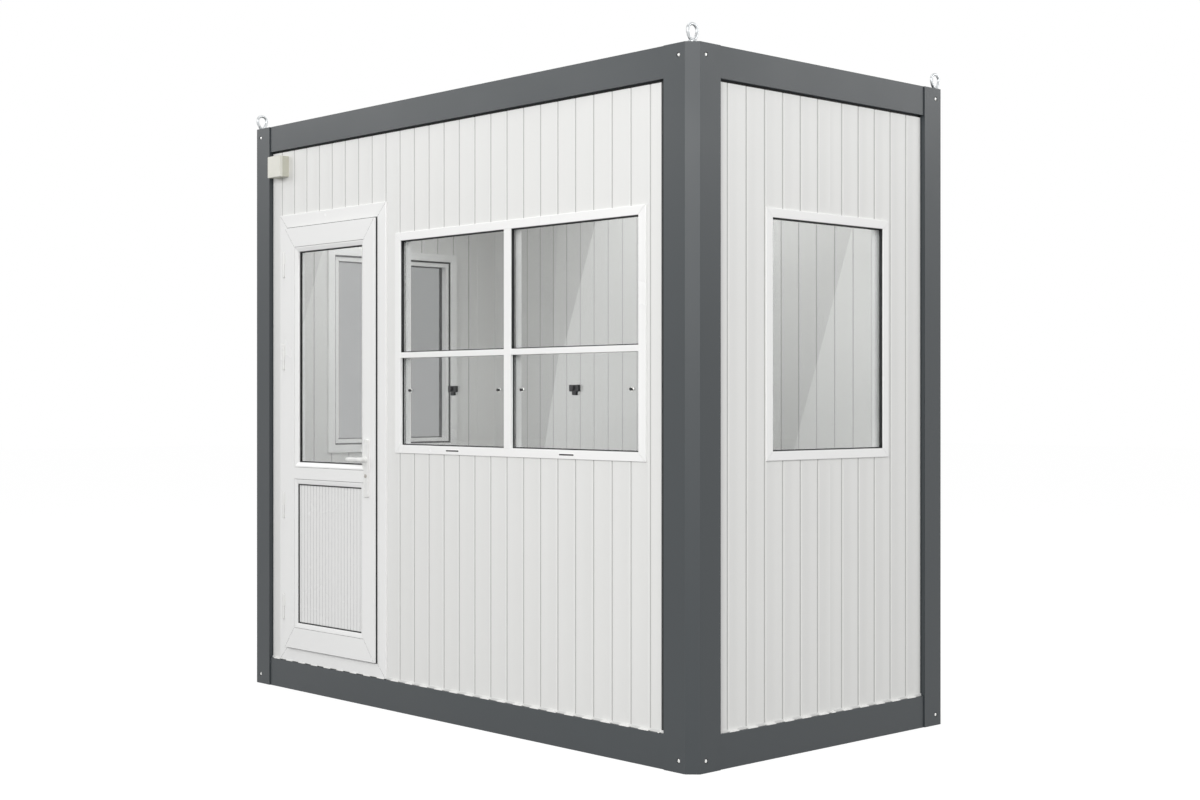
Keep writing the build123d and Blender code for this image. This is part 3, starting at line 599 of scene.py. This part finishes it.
# Door frame: rebated members, the stop behind, the foot clear of the flashing's upstand
door_edges = node_edges("door_frame", "front")
outer_corners = [(0.0, DOOR_BACK), (0.0, DOOR_PROUD), (DOOR_REBATE, DOOR_PROUD),
                 (DOOR_REBATE, STOP_FRONT), (DOOR_REBATE + DOOR_STOP, STOP_FRONT),
                 (DOOR_REBATE + DOOR_STOP, DOOR_BACK)]
jamb = rounded(outer_corners, [0.0001, 0.003, 0.002, 0.001, 0.002, 0.001], 3)
piece("door_frame_members", mitred_frame("front", door_edges, jamb, joint=MITRE), upvc,
      stands_for=("door_frame",))

# Door leaf: lipped outer members on mitres, a middle rail and snap-in glazing beads
leaf_edges = node_edges("door_leaf", "front")
lip = 0.016
stile, head, foot = LEAF_STILE - BEAD, LEAF_TOP - BEAD, LEAF_FOOT - BEAD
member = rounded([(lip, LEAF_BACK), (lip, LEAF_LIP_BACK), (0.0, LEAF_LIP_BACK),
                  (0.0, LEAF_PROUD), (0.2, LEAF_PROUD), (0.2, LEAF_BACK)],
                 [0.002, 0.001, 0.0008, 0.0015, 0.0006, 0.001], 3)
share = (member[:, 0] > 0.1).astype(float)
member = np.column_stack((share, member[:, 0] - 0.2 * share, member[:, 1]))
leaf_shapes = mitred_frame("front", leaf_edges, member, (stile, foot, stile, head), MITRE)
door_openings = [(leaf_edges[0] + LEAF_STILE, leaf_edges[1] - LEAF_STILE, MID_RAIL[1],
                  leaf_edges[3] - LEAF_TOP),
                 (leaf_edges[0] + LEAF_STILE, leaf_edges[1] - LEAF_STILE,
                  leaf_edges[2] + LEAF_FOOT, MID_RAIL[0])]
rail_half = (MID_RAIL[1] - MID_RAIL[0]) / 2 - BEAD
rail = rounded([(-rail_half, LEAF_BACK), (rail_half, LEAF_BACK), (rail_half, LEAF_PROUD),
                (-rail_half, LEAF_PROUD)], [0.001, 0.001, 0.0012, 0.0012], 3)
middle = sum(MID_RAIL) / 2
leaf_shapes.append(bar("front", (leaf_edges[0] + stile, middle), (leaf_edges[1] - stile, middle),
                       rail))
piece("door_leaf_members", leaf_shapes, upvc, "door", stands_for=("door_leaf",))


def bead_profile(start, end, width=BEAD):
    """Glazing bead: beyond a narrow slit at the member's edge it slopes and rounds to the pane."""
    deep = 0.4 * (start - end)
    corners = [(0.0014, end), (0.0014, start - 0.0012), (0.3 * width, start - 0.0016),
               (width, start - deep), (width, end)]
    return rounded(corners, [0.0001, 0.001, 0.004, 0.004, 0.0001], 3)


beads = []
for opening, (back, front) in zip(door_openings, (DOOR_GLASS, INFILL)):
    around = shrunk(opening, -BEAD, -BEAD, -BEAD)
    outer_bead = bead_profile(LEAF_PROUD, front + 0.0003)
    inner_bead = bead_profile(-LEAF_BACK, -back + 0.0003) * (1, -1)
    for profile in (outer_bead, inner_bead):
        beads += mitred_frame("front", around, profile, joint=0.0002)
piece("door_glazing_beads", beads, upvc, "door")
seals = []
for opening, (back, front) in zip(door_openings, (DOOR_GLASS, INFILL)):
    for out, way in ((front, 1), (back, -1)):
        section = [(-0.002, out + way * GLASS_GAP), (0.0055, out + way * GLASS_GAP),
                   (0.0045, out + way * 0.0035), (-0.002, out + way * 0.0045)]
        seals += mitred_frame("front", opening, section)
piece("door_glazing_gaskets", seals, rubber, "door")


def mitre_seams(side, edges, widths, front, margin):
    """Dark seams in a frame's mitres: strips 1.2 mm wide from each corner to the inner one."""
    left, right, bottom, top = edges
    outer = np.array([(left, bottom), (right, bottom), (right, top), (left, top)])
    left, bottom, right, top = np.array((left, bottom, right, top)) + (
        np.array((1, 1, -1, -1)) * widths)
    inner = np.array([(left, bottom), (right, bottom), (right, top), (left, top)])
    run = (inner - outer) / np.linalg.norm(inner - outer, axis=1, keepdims=True)
    strip = [(-SEAM, front - 0.004), (SEAM, front - 0.004), (SEAM, front - 0.0002),
             (-SEAM, front - 0.0002)]
    return [bar(side, start, end, strip)
            for start, end in zip(outer + run * margin, inner - run * 0.002)]


piece("door_frame_mitre_seams", mitre_seams("front", door_edges, (DOOR_REBATE,) * 4, DOOR_PROUD,
                                            0.004), rubber)
piece("door_leaf_mitre_seams", mitre_seams("front", leaf_edges, (stile, foot, stile, head),
                                           LEAF_PROUD, 0.003), rubber, "door")

# Black rubber seal in the gap between the leaf's lip and the frame; its edge, 4.5 mm outside
# the leaf on the frame's face, is a painted shadow line round the leaf
seal_and_shadow_lip = [(-0.0045, DOOR_PROUD + 0.0002), (-0.0045, DOOR_PROUD + 0.0008),
            (0.003, DOOR_PROUD + 0.0034), (0.0065, DOOR_PROUD + 0.0042),
            (0.0075, DOOR_PROUD + 0.0002)]
piece("door_frame_seal_and_painted_shadow", mitred_frame("front", leaf_edges, seal_and_shadow_lip), rubber)

# Backplates with round ends, and levers that bend out of a round neck
plate_edges = node_edges("backplate_outside", "front")
for label, way, start in (("outside", 1, LEAF_PROUD), ("inside", -1, LEAF_BACK)):
    if way > 0:
        shape = pad("front", plate_edges, start, start + PLATE, 0.009, 0.0025)
    else:
        # Turned round for the back wall's own frame, whose outer face is two half depths away
        turned_edges = (-plate_edges[1], -plate_edges[0], plate_edges[2], plate_edges[3])
        shift = 2 * -FRONT_FACE
        shape = pad("back", turned_edges, -start - shift, PLATE - start - shift, 0.009, 0.0025)
    piece(f"backplate_{label}_shell", [shape], white_lacquer, "door",
          stands_for=(f"backplate_{label}",))


def lever_shapes(plate, way):
    """Neck, rounded elbow and grip as one tube: a quarter turn from outward to sideways."""
    reach, radius = LEVER_REACH, LEVER_BEND
    bend = np.linspace(0, np.pi / 2, 9)
    grip = np.linspace(0, 1, 10)[1:]
    x = np.concatenate(([0.0, 0.0], -radius * (1 - np.cos(bend)), -radius - grip * LEVER_GRIP))
    out = np.concatenate(([-0.006, 0.008], reach - radius + radius * np.sin(bend),
                          np.full(len(grip), reach)))
    path = np.column_stack((LOCK_X + x, FRONT_FACE - plate - way * out,
                            np.full(len(x), SPINDLE_Z)))
    along = np.concatenate((np.zeros(11), grip))
    section = ellipse(*LEVER_SECTION, 20)
    width = 1 - 0.12 * along
    width[-1] *= 0.72
    vertices, faces = tube(path, section, (0, 0, 1), width)
    flatten = np.clip((LOCK_X - vertices[:, 0]) / 0.03, 0, 1) * 0.25
    centre_y = FRONT_FACE - plate - way * reach
    vertices = vertices.copy()
    sideways = vertices[:, 0] < LOCK_X - radius
    vertices[:, 1] = np.where(sideways, centre_y + (vertices[:, 1] - centre_y) * (1 - flatten),
                              vertices[:, 1])
    rose = turned((LOCK_X, FRONT_FACE - plate, SPINDLE_Z), (0, -way, 0),
                  [(0.0125, -0.001), (0.0125, 0.0035), (0.0115, 0.0048), (0.0085, 0.005)], 32)
    return (vertices, faces), rose


PLATE_FACES = ((1, LEAF_PROUD + PLATE), (-1, LEAF_BACK - PLATE))
for label, (way, plate) in zip(("outside", "inside"), PLATE_FACES):
    handle, rose = lever_shapes(plate, way)
    piece(f"lever_{label}_handle", [handle], white_lacquer, "door_lever",
          stands_for=(f"lever_{label}",))
    piece(f"lever_{label}_rose", [rose], white_lacquer, "door")

# Lock cylinder faces: a turned nickel plug, with a black pad in its keyway as painted shade
plugs, keyway_shades = [], []
for way, plate in PLATE_FACES:
    face = FRONT_FACE - plate
    plugs.append(turned((LOCK_X, face, CYLINDER_Z), (0, -way, 0),
                        [(0.0085, -0.004), (0.0085, 0.0014), (0.0078, 0.002), (0.0001, 0.0021)],
                        32))
    spot = rounded([(-0.0010, -0.0036), (0.0010, -0.0036), (0.0010, 0.0036),
                    (-0.0010, 0.0036)], 0.0008, 3)
    rows = [np.column_stack((LOCK_X + spot[:, 0], np.full(len(spot), face - way * out),
                             CYLINDER_Z + spot[:, 1])) for out in (0.001, 0.0023)]
    keyway_shades.append(skin(np.stack(rows)))
piece("lock_cylinder_faces", plugs, nickel, "door",
      stands_for=("lock_cylinder",))
piece("lock_keyway_painted_shades", keyway_shades, nylon, "door")

# Hinges: turned barrels with domed caps, each on a narrow neck, where the CAD knuckles are
hinge_x = leaf_edges[0] - 0.0105
hinge_y = FRONT_FACE - (LEAF_PROUD - 0.002)
barrels_frame, barrels_leaf = [], []
half = HINGE_LENGTH / 2 - 0.0002
barrel = [(0.0001, 0), (0.0045, 0.0002), (0.0066, 0.0016), (HINGE_RADIUS, 0.004),
          (HINGE_RADIUS, half - 0.0006), (0.0070, half)]
for height in HINGE_HEIGHTS:
    low, high = height - HINGE_LENGTH / 2, height + HINGE_LENGTH / 2
    barrels_frame.append(turned((hinge_x, hinge_y, low), (0, 0, 1), barrel, 28))
    barrels_leaf.append(turned((hinge_x, hinge_y, high), (0, 0, -1), barrel, 28))
    barrels_frame.append(bar("front", (hinge_x - 0.0045, low + 0.003),
                             (hinge_x - 0.0045, low + half - 0.001),
                             [(-0.0045, DOOR_PROUD), (0.0045, DOOR_PROUD),
                              (0.0045, LEAF_PROUD - 0.002), (-0.0045, LEAF_PROUD - 0.002)]))
    barrels_leaf.append(bar("front", (hinge_x + 0.008, low + half + 0.003),
                            (hinge_x + 0.008, high - 0.004),
                            [(-0.008, LEAF_PROUD - 0.006), (0.008, LEAF_PROUD - 0.006),
                             (0.008, LEAF_PROUD + 0.0006), (-0.008, LEAF_PROUD + 0.0006)]))
piece("hinge_frame_knuckles", barrels_frame, white_lacquer,
      stands_for=("hinge_frame_halves",))
piece("hinge_leaf_knuckles", barrels_leaf, white_lacquer, "door",
      stands_for=("hinge_leaf_halves",))

# Hatch panes: black latch with a round knob, and two small knobs at the sides of each pane
hatch_face = WINDOW_GLASS[1]
latches = []
for pane in front_panes[2:]:
    middle = (pane[0] + pane[1]) / 2
    for half, heights, proud in ((LATCH_HALF, LATCH_HEIGHTS, 0.014),
                                 (TAB_HALF, TAB_HEIGHTS, 0.012)):
        latches.append(pad("front", (middle - half, middle + half, *heights),
                           hatch_face, hatch_face + proud, 0.003, 0.0025))
    centre = on_wall("front", (middle - 0.004, LATCH_KNOB_Z, hatch_face + 0.014))
    latches.append(turned(centre, (0, -1, 0), [(0.0105, -0.001), (0.0105, 0.006),
                                                (0.0095, 0.0075), (0.0001, 0.0078)], 28))
piece("hatch_latch_bodies", latches, nylon, stands_for=("hatch_latches",))
knobs, washers = [], []
for pane in front_panes[2:]:
    for along in (pane[0] + SIDE_KNOB_INSETS[0], pane[1] - SIDE_KNOB_INSETS[1]):
        centre = on_wall("front", (along, SIDE_KNOB_Z, hatch_face))
        washers.append(turned(centre, (0, -1, 0), [(0.009, 0), (0.009, 0.0016), (0.008, 0.0024),
                                                    (0.0001, 0.0025)], 24))
        knobs.append(turned(centre, (0, -1, 0), [(0.0055, 0.002), (0.0062, 0.009),
                                                  (0.005, 0.0115), (0.0001, 0.012)], 24))
piece("hatch_knobs", knobs, nylon)
piece("hatch_knob_washers", washers, zinc)

# Drain covers in the front window's bottom member: a black pad in each slot as painted shade, with
# a small hood
slot_shades, hoods = [], []
for along in DRAIN_MIDDLES:
    spot = (along - DRAIN_HALF, along + DRAIN_HALF, front_edges[2] + DRAIN_FROM_FOOT[0],
            front_edges[2] + DRAIN_FROM_FOOT[1])
    slot_shades.append(pad("front", spot, WINDOW_PROUD - 0.001, WINDOW_PROUD + 0.0003, 0.002, 0.0002))
    hood = (spot[0] - 0.002, spot[1] + 0.002, spot[3], spot[3] + 0.003)
    hoods.append(pad("front", hood, WINDOW_PROUD - 0.001, WINDOW_PROUD + 0.002, 0.001, 0.0008))
piece("drain_slot_painted_shades", slot_shades, rubber)
piece("drain_hoods", hoods, window_upvc)

# Lifting eyes: forged rings on a collar. The ring is an ellipse whose half width grows with
# the sine of its angle, so it is widest near its top, which makes it pear-shaped.
eyes = []
angle = np.linspace(0, 2 * np.pi, 48, endpoint=False)
for sign_x in (-1, 1):
    for sign_y in (-1, 1):
        x, y = sign_x * (POST_OUT_X - EYE_INSET), sign_y * (POST_OUT_Y - EYE_INSET)
        rise = np.sin(angle)
        half_width = RING_HALF + RING_GROWTH * rise
        path = np.column_stack((np.full(len(angle), x), y + half_width * np.cos(angle),
                                TOP + RING_MIDDLE + RING_RISE * rise))
        eyes.append(tube(path, ellipse(RING_BAR, RING_BAR, 14), (1, 0, 0),
                         1 - 0.04 * rise, closed=True))
        eyes.append(turned((x, y, TOP), (0, 0, 1), [(0.0175, 0.0001), (0.018, 0.002),
                                                    (0.017, 0.005), (0.0125, 0.0075),
                                                    (0.0095, 0.012), (0.0001, 0.0125)], 28))
piece("lifting_eye_rings", eyes, galvanised, stands_for=("lifting_eyes",),
      sharp=50)

# Corner bolts: domed zinc heads sunk in the posts' holes
bolts = []
dome = [(0.0088, -0.004), (0.0088, -0.0022), (0.0068, -0.0014), (0.0064, 0.0006),
        (0.0046, 0.0016), (0.0001, 0.0020)]
for sign_x in (-1, 1):
    for sign_y in (-1, 1):
        for z in (BOLT_FROM_END, TOP - BOLT_FROM_END):
            for inset_x, inset_y, axis in ((BOLT_INSET, 0.002, (0, sign_y, 0)),
                                           (0.002, BOLT_INSET, (sign_x, 0, 0))):
                bolts.append(turned((sign_x * (POST_OUT_X - inset_x),
                                     sign_y * (POST_OUT_Y - inset_y), z), axis, dome, 20))
piece("corner_bolts", bolts, zinc)

# Junction box: lid with rounded edges, its seam, and a base below
box_edges = node_edges("junction_box", "front")
piece("junction_box_base", [pad("front", shrunk(box_edges, 0.0008, 0.0008, 0.0008), 0.0,
                                LID_BACK - 0.0007, 0.003, 0.0005)], abs_base,
      stands_for=("junction_box",))
piece("junction_box_cover", [pad("front", box_edges, LID_BACK, BOX_PROUD, 0.003, 0.0012)],
      abs_plastic, stands_for=("junction_box_lid",))

# Black foam seals: under the top rails and beside the front wall's near end
top_seal = [(-0.0044, FOAM_BACK), (0.0044, FOAM_BACK), (0.0044, FOAM_FRONT),
            (-0.0044, FOAM_FRONT)]
end_seal = [(-0.0148, FOAM_BACK), (0.0148, FOAM_BACK), (0.0148, -0.004), (-0.0148, -0.004)]
panel_foot, panel_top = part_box("right_wall")[0].z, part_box("right_wall")[1].z
panel_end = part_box("front_wall_window_panel")[1].x
rail_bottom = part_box("top_rail_front")[0].z
inner_post, inner_end = POST_OUT_X - POST_FACE, POST_OUT_Y - POST_FACE
seal_z, seal_x = (panel_top + rail_bottom) / 2, (panel_end + inner_post) / 2
strips = [bar("front", (0.001 - inner_post, seal_z), (inner_post - 0.001, seal_z), top_seal),
          bar("front", (seal_x, panel_foot + 0.001), (seal_x, panel_top), end_seal)]
piece("front_foam_seals", strips, rubber)
strips = [bar(side, (0.001 - inner_end, seal_z), (inner_end - 0.001, seal_z), top_seal)
          for side in ("right", "left")]
piece("end_foam_seals", strips, rubber)

# Foot of the outer walls: the flashing's tongues, one under the near half of every board
teeth = []
door_left, door_right = door_edges[:2]
long_end, short_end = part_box("back_wall")[1].x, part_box("right_wall")[1].y
for side, start, stop, first, out in (
        ("front", door_right, panel_end, LONG_GROOVE, TONGUE_OUT),
        ("front", door_left + 0.001, door_right - 0.001, LONG_GROOVE, TONGUE_OUT_DOOR),
        ("front", -long_end, door_left - 0.001, LONG_GROOVE, TONGUE_OUT),
        ("back", -long_end, long_end, -LONG_GROOVE, TONGUE_OUT),
        ("right", -short_end, END_JOINT, END_GROOVES[0], TONGUE_OUT),
        ("right", END_JOINT, short_end, END_GROOVES[1], TONGUE_OUT),
        ("left", -short_end, -END_JOINT, -END_GROOVES[1], TONGUE_OUT),
        ("left", -END_JOINT, short_end, -END_GROOVES[0], TONGUE_OUT)):
    count = np.arange(-30, 31)
    tongue = np.sort(first + (count + (0.5 if side in ("front", "left") else 0.0)) * GROOVE_PITCH)
    lows = np.clip(tongue, start, stop)
    highs = np.clip(tongue + GROOVE_PITCH / 2, start, stop)
    for low, high in zip(lows, highs):
        if high - low > 0.004:
            teeth.append(bar(side, (low, TONGUE_Z), (high, TONGUE_Z),
                             [(-0.0018, out), (0.0016, out), (0.0016, 0.0100),
                              (-0.0018, 0.0115)]))
piece("base_flashing_tongues", teeth, plain_coil_coat)

# Return lips of the posts, folded back beside every wall
lips = [bar(side, (way * (inner - 0.0010), 0.1275), (way * (inner - 0.0010), rail_bottom - 0.0005),
            [(-0.0008, -0.001), (0.0008, -0.001), (0.0008, 0.016), (-0.0008, 0.016)])
        for side, inner in (("front", inner_post), ("back", inner_post), ("right", inner_end),
                            ("left", inner_end)) for way in (-1, 1)]
piece("post_return_lips", lips, powder_coat)

# Floor: white studio floor that shows white to the camera and keeps a soft shadow
floor_mesh = bpy.data.meshes.new("studio_floor")
reach = 40.0
floor_mesh.from_pydata([(-reach, -reach, 0), (reach, -reach, 0), (reach, reach, 0),
                        (-reach, reach, 0)], [], [(0, 1, 2, 3)])
floor = place_object("studio_floor", floor_mesh)
paper, tree = blank_material("studio_paper")
lit = add(tree, "ShaderNodeBsdfDiffuse", {"Color": linear("8E8E8E")})
glow = add(tree, "ShaderNodeEmission", {"Color": (1, 1, 1, 1), "Strength": 0.82})
none = add(tree, "ShaderNodeEmission", {"Color": (0, 0, 0, 1), "Strength": 0.0})
choice = add(tree, "ShaderNodeMixShader", {0: seen_directly(tree), 1: none.outputs[0],
                                           2: glow.outputs[0]})
both = add(tree, "ShaderNodeAddShader", {0: lit.outputs[0], 1: choice.outputs[0]})
add(tree, "ShaderNodeOutputMaterial", {"Surface": both.outputs[0]})
floor_mesh.materials.append(paper)

# World: even grey light, white where the camera, gloss and glass see it
world = bpy.data.worlds.new("studio_world")
bpy.context.scene.world = world
world.use_nodes = True
tree = world.node_tree
tree.nodes.clear()
even = add(tree, "ShaderNodeBackground", {"Color": linear("F6F6F6"), "Strength": 0.70})
white = add(tree, "ShaderNodeBackground", {"Color": (1, 1, 1, 1), "Strength": 1.0})
choice = add(tree, "ShaderNodeMixShader", {0: seen_directly(tree), 1: even.outputs[0],
                                           2: white.outputs[0]})
add(tree, "ShaderNodeOutputWorld", {"Surface": choice.outputs[0]})


def soft_box(name, place, target, size, power):
    """Rectangular soft light at a place, turned to its target."""
    light = bpy.data.lights.new(name, "AREA")
    light.shape = "RECTANGLE"
    light.size, light.size_y = size
    light.energy = power
    lamp = place_object(name, light)
    lamp.location = place
    lamp.rotation_euler = (Vector(target) - Vector(place)).to_track_quat("-Z", "Y").to_euler()


soft_box("front_soft_box", (-6.4, -5.8, 4.8), (0.0, -0.7, 1.6), (5.5, 2.6), 115)
soft_box("camera_side_soft_box", (6.1, -7.9, 4.2), (1.0, -0.5, 1.6), (4.5, 2.8), 450)
soft_box("end_soft_box", (6.6, 6.0, 4.8), (1.4, 0.0, 1.6), (5.5, 2.6), 140)
soft_box("top_soft_box", (0.5, -0.5, 6.5), (0.0, 0.0, 0.0), (4.0, 4.0), 60)
soft_box("room_light", (0.4, 0.0, 2.44), (0.4, 0.0, 0.0), (1.8, 1.0), 17)
soft_box("room_back_light", (-0.95, -0.30, 2.40), (-0.9, 0.2, 0.6), (0.6, 0.5), 4.0)


def reflector(name, axis, pane, far, points, strength):
    """Flat card that shows in a pane where the (along, up) `points` lie, and only in gloss.

    Its corners lie in the plane `far`, each on the straight line from the camera's mirror
    image in the plane `pane` through the point on that pane.
    """
    eye = np.array(CAMERA_PLACE)
    eye[axis] = 2 * pane - eye[axis]
    points = np.insert(np.asarray(points, float), axis, pane, axis=1)
    corners = eye + (points - eye) * (far - eye[axis]) / (pane - eye[axis])
    mesh = bpy.data.meshes.new(name)
    mesh.from_pydata(corners, [], [list(range(len(corners)))])
    card = place_object(name, mesh)
    material, tree = blank_material(name)
    gloss = add(tree, "ShaderNodeLightPath").outputs["Is Glossy Ray"]
    clear = add(tree, "ShaderNodeBsdfTransparent", {"Color": (1, 1, 1, 1)})
    lit = add(tree, "ShaderNodeEmission", {"Color": (1, 1, 1, 1), "Strength": strength})
    shown = add(tree, "ShaderNodeMixShader", {0: gloss, 1: clear.outputs[0], 2: lit.outputs[0]})
    add(tree, "ShaderNodeOutputMaterial", {"Surface": shown.outputs[0]})
    mesh.materials.append(material)


front_pane, door_pane = FRONT_FACE - WINDOW_GLASS[1], FRONT_FACE - DOOR_GLASS[1]
end_pane = END_FACE + WINDOW_GLASS[1]
reflector("window_bright_card", 1, front_pane, -8.0,
          [(0.908, 2.015), (0.729, 1.545), (0.692, 1.503), (0.606, 1.125), (1.165, 1.125),
           (1.165, 2.015)], 2.3)
reflector("window_grey_card", 1, front_pane, -8.0,
          [(-0.31, 1.515), (0.655, 1.515), (0.690, 2.015), (-0.31, 2.015)], 0.6)
reflector("door_bright_card", 1, door_pane, -8.0,
          [(-0.877, 2.010), (-1.065, 1.615), (-1.065, 1.030), (-0.55, 1.030), (-0.55, 2.010)], 1.6)
reflector("end_bright_card", 0, end_pane, 8.0,
          [(0.186, 2.010), (-0.043, 1.441), (-0.178, 1.115), (0.365, 1.115), (0.365, 2.010)], 1.95)

# Camera at the photograph's place: level, two-point perspective
lens = bpy.data.cameras.new("photo_camera")
lens.sensor_width = 36.0
lens.lens = CAMERA_LENS
camera = place_object("photo_camera", lens)
camera.location = CAMERA_PLACE
camera.rotation_euler = (np.pi / 2, 0.0, np.radians(CAMERA_TURN))
bpy.context.scene.camera = camera
bpy.context.scene.view_settings.view_transform = "Standard"
